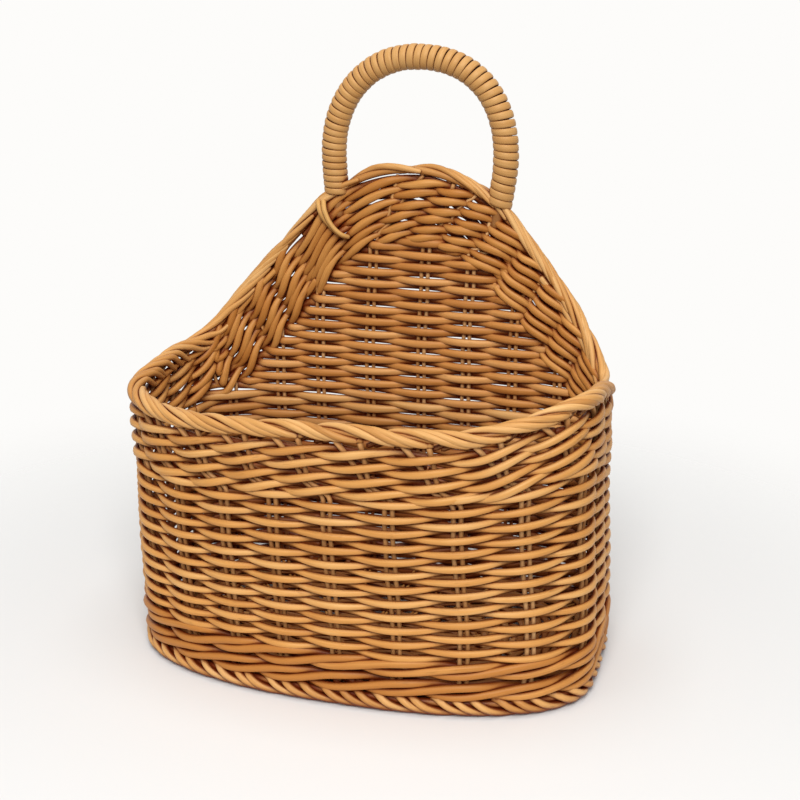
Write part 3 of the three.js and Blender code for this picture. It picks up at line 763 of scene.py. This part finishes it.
def backing(bundle, heightOf):
    steps = backer["steps"]
    for first, last in backer["spans"]:
        first = first + rng.uniform(0, backer["uneven"])
        last = last - rng.uniform(0, backer["uneven"])
        s = np.linspace(first, last, steps)
        z = heightOf(s) - backer["lower"] * slopeStretch(s) + wander(steps, *backer["heightWander"])
        ending = smooth(backer["tuckRun"], 1, np.minimum(s - s[0], s[-1] - s))
        out = backer["out"] - backer["tuck"] * ending + wander(steps, *backer["outWander"])
        tone = rng.uniform(*backer["tones"])
        bundle.add(onWall(s, z, out), outward(s), backer["width"], backer["thick"], tone)


def fullRow(front, arch):
    def heightOf(s):
        depth = front + (arch - front) * smooth(*pairs["archSides"], sideOf(s))
        return rimTop(s) - depth * slopeStretch(s)

    return heightOf


def archRow(depth, floor):  # follows the arch and levels out at its floor
    softness = pairs["floorSoftness"]

    def heightOf(s):
        above = rimTop(s) - depth * slopeStretch(s) - floor
        return floor + softness * np.logaddexp(0, above / softness)

    return heightOf


bundle = Bundle()
for front, arch, size, low in zip(pairs["front"], pairs["arch"], pairs["sizes"], pairs["starts"]):
    heightOf = fullRow(front, arch)
    pairing(bundle, [(low, low + stakeCount + 1), (low + 1, low + stakeCount)], front, heightOf, size)
    backing(bundle, heightOf)
for depth, (floor, reach, backed) in zip(pairs["arch"][4:], pairs["floors"]):
    heightOf = archRow(depth, floor)
    span = (stakeCount - reach, stakeCount + reach)
    pairing(bundle, [span, span], depth, heightOf, pairs["archSize"], tucked=True)
    if backed:
        backing(bundle, heightOf)

# Plain strands close under the border: a dark one at the top of the arch and one at each foot of it
filler = {
    "steps": 150,
    "topReach": 46,
    "topDepth": 6.9,
    "topOut": 1.3,
    "topSize": (2.2, 1.6),
    "topTone": 0.0,
    "sideAt": 93,
    "sideReach": 38,
    "sideDepth": 7.6,
    "sideEndDepth": 0.8,
    "sideOut": -1.1,
    "sideSize": (2.7, 2.5),
}
steps = filler["steps"]
s = np.linspace(-filler["topReach"], filler["topReach"], steps)
z = rimTop(s) - filler["topDepth"] * slopeStretch(s) + wander(steps, 0.15, 16)
out = filler["topOut"] + wander(steps, 0.1, 16)
bundle.add(onWall(s, z, out), outward(s), *filler["topSize"], filler["topTone"])
for middle in (-filler["sideAt"], filler["sideAt"]):
    s = np.linspace(middle - filler["sideReach"], middle + filler["sideReach"], steps)
    depth = filler["sideEndDepth"] * smooth(30, filler["sideReach"], np.abs(s - middle))
    z = rimTop(s) - (filler["sideDepth"] + depth) * slopeStretch(s)
    out = filler["sideOut"] + wander(steps, 0.1, 14)
    bundle.add(onWall(s, z, out), outward(s), *filler["sideSize"])
bundle.build("rim_pairing", weaverCane, ["rim_wale"])
print("stage: rim rows")

# Upset: three strands in turn, each in front of two stakes and behind the third
upset = {
    "rows": (10.5, 18.5),
    "starts": (8, 11),
    "spans": ((0, 24), (2, 23), (1, 25)),
    "size": 2.95,
    "thickShare": 0.94,
    "bulge": 0.05,
    "drop": 2.0,
    "stakeSine": 0.866,  # so that a strand is a full drop lower or higher at a stake
    "reach": 2.4,
    "sharedWander": (0.25, 30),
    "placeWander": (0.3, 20),
    "heightWander": (0.3, 24),
    "outWander": (0.1, 16),
    "sizeWander": (0.04, 18),
    "tones": (-0.7, 0.2),
}
bundle = Bundle()
for height, low in zip(upset["rows"], upset["starts"]):
    shared = wander(round((stakeCount + 3) * stepsPerStake) + 20, *upset["sharedWander"])
    for turn, (first, last) in enumerate(upset["spans"]):
        cuts = cutAt(first, last, 3, 3)
        for a, b in zip(cuts[:-1], cuts[1:]):
            crossing = np.arange(low + a, low + b + 0.01, 1 / stepsPerStake)
            steps = len(crossing)
            phase = 2 * np.pi * (crossing + turn - 0.5) / 3
            swing = softened(np.clip(2 * np.cos(phase) + 1, -1, 1), 7)
            s = placeOf(crossing) + wander(steps, *upset["placeWander"])
            z = lifted(s, height) + shared[a * stepsPerStake : a * stepsPerStake + steps]
            z = z - upset["drop"] * np.sin(phase) / upset["stakeSine"]
            z = z + wander(steps, *upset["heightWander"])
            out = upset["reach"] * swing + wander(steps, *upset["outWander"])
            size = upset["size"] * (1 + upset["bulge"] * swing + wander(steps, *upset["sizeWander"]))
            tone = rng.uniform(*upset["tones"])
            bundle.add(onWall(s, z, out), outward(s), size, upset["thickShare"] * size, tone)
bundle.build("upset_pairing", weaverCane, ["upset_wale"])
print("stage: upset")

# Rim border: three strands from every stake, laid along the rim, over it and down inside.
# turnAt gives the angle round the border at distances along it
border = {
    "rod": 2.75,
    "height": 7.1,
    "thick": 7.4,
    "run": 41.0,
    "start": 19.8,
    "between": 5.6,
    "strands": 3,
    "steps": 48,
    "turnAt": ([0, 3, 6.5, 10.5, 15.5, 21, 27, 41], [-95, -70, -38, -5, 38, 82, 130, 220]),
    "slopeAt": 12.0,
    "slopeRunShare": 0.72,
    "uneven": (0.95, 1.05),
    "placeSpread": 0.35,
    "turnSpread": 0.06,
    "topSides": (80, 50),
    "topSlimmer": 0.2,
    "slopeSlimmer": 0.22,
    "rodShare": 0.4,
    "endDrop": 3.4,
    "endDropStart": 0.74,
    "endDropSides": (60, 85),
    "routeWander": (0.14, 12),
    "sizeWander": (0.035, 14),
    "firstSteps": 5,
    "firstShare": 0.72,
    "lastSteps": 10,
    "lastShare": 0.7,
    "coreSize": (3.0, 3.2),
    "coreSteps": 360,
}
rope = {"flatShare": 0.96, "power": 2.1}  # section of the strands in both borders


def rimRing(s, psi, rod, height, thick, centreDepth):
    lean = rimLean(s)
    up = (height - rod) / 2 * np.sin(psi)
    out = (thick - rod) / 2 * np.cos(psi)
    z = rimTop(s) - centreDepth * np.cos(lean) + up * np.cos(lean)
    shift = (centreDepth - up) * np.sin(lean)
    return s + shift, z, out


bundle = Bundle()
steps = border["steps"]
t = np.linspace(0, 1, steps)
for place in stakeAt:
    for number in range(border["strands"]):
        bent = border["start"] - border["between"] * number
        bent = float(bendShare(place + stakes["slopeAhead"])) * bent
        start = place + stakes["lean"] + bent + rng.normal(0, border["placeSpread"])
        ahead = start + border["slopeAt"]
        slope = abs(float(rimLean(np.array([ahead]))[0]))
        runShare = border["slopeRunShare"] + (1 - border["slopeRunShare"]) * math.cos(slope)
        run = border["run"] * runShare * rng.uniform(*border["uneven"])
        high = float(smooth(*border["topSides"], sideOf(ahead)))
        slim = 1 - max(border["slopeSlimmer"] * math.sin(slope), border["topSlimmer"] * high)
        psi = np.radians(np.interp(t * border["run"], *border["turnAt"]))
        psi = softened(psi, 7) + rng.normal(0, border["turnSpread"])
        height, thick = border["height"] * slim, border["thick"] * slim
        rod = border["rod"] * (border["rodShare"] + (1 - border["rodShare"]) * slim)
        s, z, out = rimRing(start + run * t, psi, rod, height, thick, height / 2)
        drop = border["endDrop"] * smooth(border["endDropStart"], 1.0, t)
        drop = drop * smooth(*border["endDropSides"], sideOf(s))
        out = out + wander(steps, *border["routeWander"])
        z = z + wander(steps, *border["routeWander"]) - drop
        path = onWall(s, z, out)
        side = path - onWall(s, rimTop(s) - height / 2 - drop, 0) + 0.001  # never a length of zero
        side[:3] = outward(s[:3])
        size = rod * (1 + wander(steps, *border["sizeWander"]))
        size[: border["firstSteps"]] *= np.linspace(border["firstShare"], 1, border["firstSteps"])
        size[-border["lastSteps"] :] *= np.linspace(1, border["lastShare"], border["lastSteps"])
        bundle.add(path, side, size, rope["flatShare"] * size, power=rope["power"])
# The core inside the border takes the darkest tone: painted shade where it shows between the strands
s = np.linspace(0, wallLength, border["coreSteps"])
level = np.zeros(border["coreSteps"])
shift, z, out = rimRing(s, level, border["rod"], border["height"], 0, border["height"] / 2)
bundle.add(onWall(shift, z, 0.0), outward(s), *border["coreSize"], 0.0)
bundle.build("rim_border_strands", borderCane, ["rim_border"])
print("stage: rim border")

# Foot border: rods that come down from under the upset and lie along the foot
foot = {
    "rod": 2.95,
    "height": 8.4,
    "thick": 9.0,
    "run": 32.0,
    "count": 66,
    "steps": 34,
    "turnAt": ([0, 2, 5, 9, 14, 21, 32], [100, 62, 12, -30, -62, -95, -150]),
    "stagger": (0, -0.7, 0.9),
    "placeSpread": 0.5,
    "turnWander": (0.02, 9),
    "sizeWander": (0.035, 12),
    "uneven": (0.95, 1.05),
    "lastSteps": 10,
    "lastShare": 0.75,
    "riseSteps": 4,
    "rise": 4.5,
    "riseAlong": 1.0,
    "riseIn": 0.8,
    "floorGap": 0.02,
    "coreRise": 0.4,
    "coreSize": (3.2, 3.0),
    "coreSteps": 300,
}
bundle = Bundle()
t = np.linspace(0, 1, foot["steps"])
rise = np.linspace(1, 0, foot["riseSteps"] + 1)[:-1]
for index in range(foot["count"]):
    start = wallLength * index / foot["count"] + foot["stagger"][index % 3]
    start = start + rng.normal(0, foot["placeSpread"])
    psi = np.radians(np.interp(t * foot["run"], *foot["turnAt"]))
    psi = softened(psi, 5) + wander(foot["steps"], *foot["turnWander"])
    s = start - foot["run"] * t
    z = foot["height"] / 2 + (foot["height"] - foot["rod"]) / 2 * np.sin(psi)
    out = (foot["thick"] - foot["rod"]) / 2 * np.cos(psi)
    size = foot["rod"] * (1 + wander(foot["steps"], *foot["sizeWander"])) * rng.uniform(*foot["uneven"])
    size[-foot["lastSteps"] :] *= np.linspace(1, foot["lastShare"], foot["lastSteps"])
    z = np.append(z[0] + foot["rise"] * rise, z)
    s = np.append(s[0] + foot["riseAlong"] * rise, s)
    out = np.append(out[0] - foot["riseIn"] * rise, out)
    size = np.append(size[0] * np.ones(foot["riseSteps"]), size)
    z = np.maximum(z, size / 2 + foot["floorGap"])
    path = onWall(s, z, out)
    side = path - onWall(s, foot["height"] / 2, 0)
    side[:8] = outward(s[:8])
    bundle.add(path, side, size, rope["flatShare"] * size, power=rope["power"])
# The core inside the foot border takes the darkest tone: painted shade where it shows between the rods
s = np.linspace(0, wallLength, foot["coreSteps"])
path = onWall(s, foot["height"] / 2 + foot["coreRise"], 0.0)
bundle.add(path, outward(s), *foot["coreSize"], 0.0)
bundle.build("foot_border_strands", borderCane, ["foot_border"])
print("stage: foot border")

# Base: rounds woven over and under spokes towards a ridge in the middle, with rods crossing beneath
base = {
    "middle": 11.3,
    "inset": -3.6,
    "centreY": -plan["shift"] * 0.93,
    "ridgeShare": 0.42,
    "rounds": 17,
    "filledShare": 0.97,
    "startRound": 0.35,
    "swing": 1.15,
    "strand": 2.9,
    "thick": 1.5,
    "deep": 0.7,
    "spoke": 1.5,
    "spokeGap": 1.2,
    "spokeShares": (1.02, 0.12),
    "spokeSteps": 24,
    "stepsPerStake": 8,
    "rodWidth": 2.8,
    "rodThick": 2.7,
    "rodSteps": 60,
    "rodWander": (0.12, 9),
    "rodSizeWander": (0.02, 12),
}


def onBase(s, share, z):
    edge = onWall(s, base["middle"], base["inset"])
    ridge = edge[:, 0] * base["ridgeShare"]
    x = ridge + (edge[:, 0] - ridge) * share
    y = base["centreY"] + (edge[:, 1] - base["centreY"]) * share
    return np.stack([x, y, np.broadcast_to(z, x.shape)], -1)


up = (0, 0, 1)
bundle = Bundle()
for number in range(base["rounds"]):
    crossing = np.arange(0, stakeCount + 0.4, 1 / base["stepsPerStake"])
    share = 1.0 - (number + base["startRound"]) / base["rounds"] * base["filledShare"]
    share = share - base["filledShare"] / base["rounds"] * crossing / stakeCount
    share = np.clip(share, 0.03, 1)
    swing = base["swing"] * np.cos(np.pi * (crossing + number))
    path = onBase(placeOf(crossing), share, base["middle"] + swing * smooth(0.02, 0.2, share))
    # The base rounds take the painted shade of the inside all over
    bundle.add(path, up, base["strand"], base["thick"], deep=base["deep"])
for place in stakeAt:
    for side in (-1, 1):
        share = np.linspace(*base["spokeShares"], base["spokeSteps"])
        path = onBase(np.full(base["spokeSteps"], place + side * base["spokeGap"]), share, base["middle"])
        bundle.add(path, up, base["spoke"], base["spoke"], sides=6, power=2)
bundle.build("base_rounds", baseCane, ["base_mat"])
for number in range(3):
    bundle = Bundle()
    steps = base["rodSteps"]
    low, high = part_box(f"base_stick_{number + 1}")
    y, z = (low.y + high.y) * 500, (low.z + high.z) * 500  # the middle, in millimetres
    x = np.linspace(low.x * 1000, high.x * 1000, steps)
    path = np.stack([x, y + wander(steps, *base["rodWander"]), np.full(steps, z)], -1)
    width = base["rodWidth"] * (1 + wander(steps, *base["rodSizeWander"]))
    bundle.add(path, up, width, base["rodThick"], sides=12, power=2)
    bundle.build(f"base_rod_{number + 1}", stakeCane, [f"base_stick_{number + 1}"])
print("stage: base")

# Hanging loop: a bent core and one strand wound closely round it
loop = {
    "centre": 2.5,
    "half": 35.4,
    "top": 234.3,
    "bow": 39.0,
    "radius": 5.1,
    "foot": 163.0,
    "leftSquareness": 2.28,
    "rightSquareness": 2.08,
    "leftIn": 1.6,
    "rightIn": 3.0,
    "standsAt": (36.0, 120.0),  # place and height whose wall the loop stands above
    "behind": 1.0,
    "core": 5.6,
    "coreSteps": 160,
    "bowSteps": 120,
    "legSteps": 40,
    "wrapFoot": 9.5,
    "pitch": (2.6, 3.2),
    "thick": 1.4,
    "widthShare": 0.99,
    "power": 2.7,
    "stepsPerTurn": 26,
    "pitchWander": 0.06,
    "radiusWander": 0.008,
    "widthWander": 0.015,
}
loopY = float(onWall(*loop["standsAt"], 0.0)[1]) + loop["behind"]


def loopCurve():
    spring = loop["top"] - loop["radius"] - loop["bow"]
    angle = np.linspace(np.pi, 0, loop["bowSteps"])
    squareness = 2 / np.where(angle < np.pi / 2, loop["leftSquareness"], loop["rightSquareness"])
    bowX = loop["half"] * np.sign(np.cos(angle)) * np.abs(np.cos(angle)) ** squareness
    bowZ = spring + loop["bow"] * np.sin(angle) ** squareness
    legZ = np.linspace(loop["foot"], spring, loop["legSteps"])[:-1]
    inward = smooth(spring, loop["foot"], legZ)
    leftX, rightX = -loop["half"] + loop["leftIn"] * inward, loop["half"] - loop["rightIn"] * inward
    x = np.concatenate([leftX, bowX, rightX[::-1]])
    z = np.concatenate([legZ, bowZ, legZ[::-1]])
    return runAlong(x, z), x + loop["centre"], z


loopRun, loopX, loopZ = loopCurve()


def loopAt(distance):
    x, z = np.interp(distance, loopRun, loopX), np.interp(distance, loopRun, loopZ)
    near = 0.8
    dx = np.interp(distance + near, loopRun, loopX) - np.interp(distance - near, loopRun, loopX)
    dz = np.interp(distance + near, loopRun, loopZ) - np.interp(distance - near, loopRun, loopZ)
    size = np.hypot(dx, dz)
    out = np.stack([-dz / size, 0 * dx, dx / size], -1)
    return np.stack([x, np.full_like(x, loopY), z], -1), out


bundle = Bundle()
point, out = loopAt(np.linspace(0, loopRun[-1], loop["coreSteps"]))
bundle.add(point, out, loop["core"], loop["core"], sides=14, power=2)
bundle.build("loop_core", shadeCoreCane, ["handle_core"])
bundle = Bundle()
perTurn = loop["stepsPerTurn"]
firstPitch, lastPitch = loop["pitch"]
turns = 2 * (loopRun[-1] - 2 * loop["wrapFoot"]) / (firstPitch + lastPitch)
phase = np.arange(0, turns, 1 / perTurn)
pitch = firstPitch + (lastPitch - firstPitch) * phase / turns
jitter = wander(len(phase), loop["pitchWander"], perTurn)
point, out = loopAt(loop["wrapFoot"] + (firstPitch + pitch) / 2 * phase + jitter)
angle = 2 * np.pi * phase
spoke = np.cos(angle)[:, None] * out + np.sin(angle)[:, None] * np.array([0, 1.0, 0])
radius = (loop["radius"] - loop["thick"] / 2) * (1 + wander(len(phase), loop["radiusWander"], perTurn))
path = point + radius[:, None] * spoke
width = loop["widthShare"] * pitch * (1 + wander(len(phase), loop["widthWander"], perTurn))
bundle.add(path, spoke, width, loop["thick"], sides=14, power=loop["power"])
bundle.build("loop_wrap", wrapCane, ["handle_wrap"])

# Lashing: a doubled strand down the inside of the arch beside the left leg.
# Its route has places along the rim, depths below it and distances outwards
lash = {
    "route": [(-38.2, 6.5, 2.0), (-38.0, 2.6, 0.0), (-37.5, 2.6, -3.4), (-36.3, 6.0, -5.4)]
    + [(-34.2, 9.8, -5.4), (-31.0, 13.6, -5.0), (-28.2, 16.0, -4.0), (-26.4, 17.0, -1.5)],
    "rimAt": -38.0,
    "centreDepth": 5.0,
    "rod": 2.1,
    "thickShare": 0.9,
    "apart": 1.1,
    "steps": 60,
    "relaxTimes": 10,
}
bundle = Bundle()
for side in (-1, 1):
    route = np.array(lash["route"])
    t = np.linspace(0, 1, lash["steps"])
    knots = np.linspace(0, 1, len(route))
    s, depth, out = [np.interp(t, knots, route[:, i]) for i in range(3)]
    for values in (s, depth, out):
        relax(values, lash["relaxTimes"])
    path = onWall(s, rimTop(lash["rimAt"]) - depth, out)
    normal, across = squareTo(path, path - onWall(s, rimTop(s) - lash["centreDepth"], 0))
    path = path + side * lash["apart"] * across
    bundle.add(path, normal, lash["rod"], lash["rod"] * lash["thickShare"])
bundle.build("lashing_strands", lashCane, ["handle_lashing"])
print("stage: loop")

# Floor: a pale disc that fades out into the backdrop, in metres
ground = {
    "radius": 1.3,
    "rings": 24,
    "spokes": 96,
    "colour": (0.855, 0.849, 0.836),
    "roughness": 0.9,
    "gloss": 0.1,
    "fade": (0.12, 0.34),
}


def makeFloor():
    spokes = ground["spokes"]
    radii = np.linspace(0, ground["radius"], ground["rings"] + 1)[1:]
    turn = 2 * np.pi * np.arange(spokes) / spokes
    points = [(0, 0, 0)] + [(r * math.cos(a), r * math.sin(a), 0) for r in radii for a in turn]
    faces = [(0, 1 + i, 1 + (i + 1) % spokes) for i in range(spokes)]
    for ring in range(ground["rings"] - 1):
        for i in range(spokes):
            j = (i + 1) % spokes
            inner, outer = 1 + ring * spokes, 1 + (ring + 1) * spokes
            faces.append((inner + i, outer + i, outer + j, inner + j))
    mesh = bpy.data.meshes.new("floor")
    mesh.from_pydata(points, [], faces)
    disc = bpy.data.objects.new("floor", mesh)
    bpy.context.scene.collection.objects.link(disc)
    return disc


def floorPale():
    material = bpy.data.materials.new("floor_pale")
    material.use_nodes = True
    nodes, links = material.node_tree.nodes, material.node_tree.links
    shader, out = nodes["Principled BSDF"], nodes["Material Output"]
    shader.inputs["Base Color"].default_value = (*ground["colour"], 1)
    shader.inputs["Roughness"].default_value = ground["roughness"]
    shader.inputs["Specular IOR Level"].default_value = ground["gloss"]
    coords, length = nodes.new("ShaderNodeTexCoord"), nodes.new("ShaderNodeVectorMath")
    length.operation = "LENGTH"
    fade = nodes.new("ShaderNodeMapRange")
    clear, blend = nodes.new("ShaderNodeBsdfTransparent"), nodes.new("ShaderNodeMixShader")
    fade.interpolation_type = "SMOOTHSTEP"
    fade.inputs["From Min"].default_value, fade.inputs["From Max"].default_value = ground["fade"]
    links.new(coords.outputs["Object"], length.inputs[0])
    links.new(length.outputs["Value"], fade.inputs["Value"])
    links.new(fade.outputs[0], blend.inputs[0])
    links.new(shader.outputs[0], blend.inputs[1])
    links.new(clear.outputs[0], blend.inputs[2])
    links.new(blend.outputs[0], out.inputs["Surface"])
    return material


floor = makeFloor()
floor.data.materials.append(floorPale())
floor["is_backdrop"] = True

# Studio: a dim, even light from all round, a near white backdrop and two soft lamps
studio = {
    "evenStrength": 0.27,
    "backdrop": (0.982, 0.973, 0.956),
    "lamps": {
        "key": {"place": (0.32, -1.25, 1.20), "target": (0, 0, 0.09), "size": 0.8, "power": 25},
        "top": {"place": (0.0, -0.1, 1.7), "target": (0, 0, 0.1), "size": 1.0, "power": 9},
    },
}
world = bpy.data.worlds.new("studio")
bpy.context.scene.world = world
world.use_nodes = True
nodes, links = world.node_tree.nodes, world.node_tree.links
nodes.clear()
worldOut = nodes.new("ShaderNodeOutputWorld")
even, backdrop = nodes.new("ShaderNodeBackground"), nodes.new("ShaderNodeBackground")
even.inputs["Color"].default_value = (1, 1, 1, 1)
even.inputs["Strength"].default_value = studio["evenStrength"]
backdrop.inputs["Color"].default_value = (*studio["backdrop"], 1)
backdrop.inputs["Strength"].default_value = 1.0
lightPath, mixer = nodes.new("ShaderNodeLightPath"), nodes.new("ShaderNodeMixShader")
anyRay = lightPath.outputs["Is Camera Ray"]
for ray in ("Is Glossy Ray", "Is Transmission Ray"):
    either = nodes.new("ShaderNodeMath")
    either.operation = "MAXIMUM"
    links.new(anyRay, either.inputs[0])
    links.new(lightPath.outputs[ray], either.inputs[1])
    anyRay = either.outputs[0]
links.new(anyRay, mixer.inputs[0])
links.new(even.outputs[0], mixer.inputs[1])
links.new(backdrop.outputs[0], mixer.inputs[2])
links.new(mixer.outputs[0], worldOut.inputs["Surface"])


def areaLamp(name, place, target, size, power):
    data = bpy.data.lights.new(name, "AREA")
    data.shape, data.size, data.size_y, data.energy = "RECTANGLE", size, size, power
    lamp = bpy.data.objects.new(name, data)
    bpy.context.scene.collection.objects.link(lamp)
    lamp.location = place
    lamp.rotation_mode = "QUATERNION"
    lamp.rotation_quaternion = (Vector(target) - Vector(place)).to_track_quat("-Z", "Y")


for name, lamp in studio["lamps"].items():
    areaLamp(name, **lamp)
print("stage: floor and lights")

# Camera: angles in degrees, distances in millimetres, the focal length in pixels of an 800 pixel view
view = {
    "azimuth": 15.554,
    "elevation": 19.009,
    "roll": -0.420,
    "distance": 634.56,
    "target": (9.674, 0.0, 104.988),
    "focal": 1645.32,
    "pixels": 800,
    "sensor": 36,
}
data = bpy.data.cameras.new("camera")
camera = bpy.data.objects.new("camera", data)
bpy.context.scene.collection.objects.link(camera)
bpy.context.scene.camera = camera
azimuth, elevation = math.radians(view["azimuth"]), math.radians(view["elevation"])
flat = math.cos(elevation)
towards = Vector((math.sin(azimuth) * flat, -math.cos(azimuth) * flat, math.sin(elevation)))
camera.location = Vector(view["target"]) / 1000 + towards * view["distance"] / 1000
camera.rotation_mode = "QUATERNION"
roll = Matrix.Rotation(math.radians(-view["roll"]), 3, "Z")
camera.rotation_quaternion = ((-towards).to_track_quat("-Z", "Y").to_matrix() @ roll).to_quaternion()
data.sensor_width = view["sensor"]
data.lens = view["focal"] / view["pixels"] * view["sensor"]
data.clip_start, data.clip_end = 0.05, 20

bpy.context.scene.view_settings.view_transform = "Standard"
low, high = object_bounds()
print("stage: done", [round(v * 1000, 1) for v in (*low, *high)])
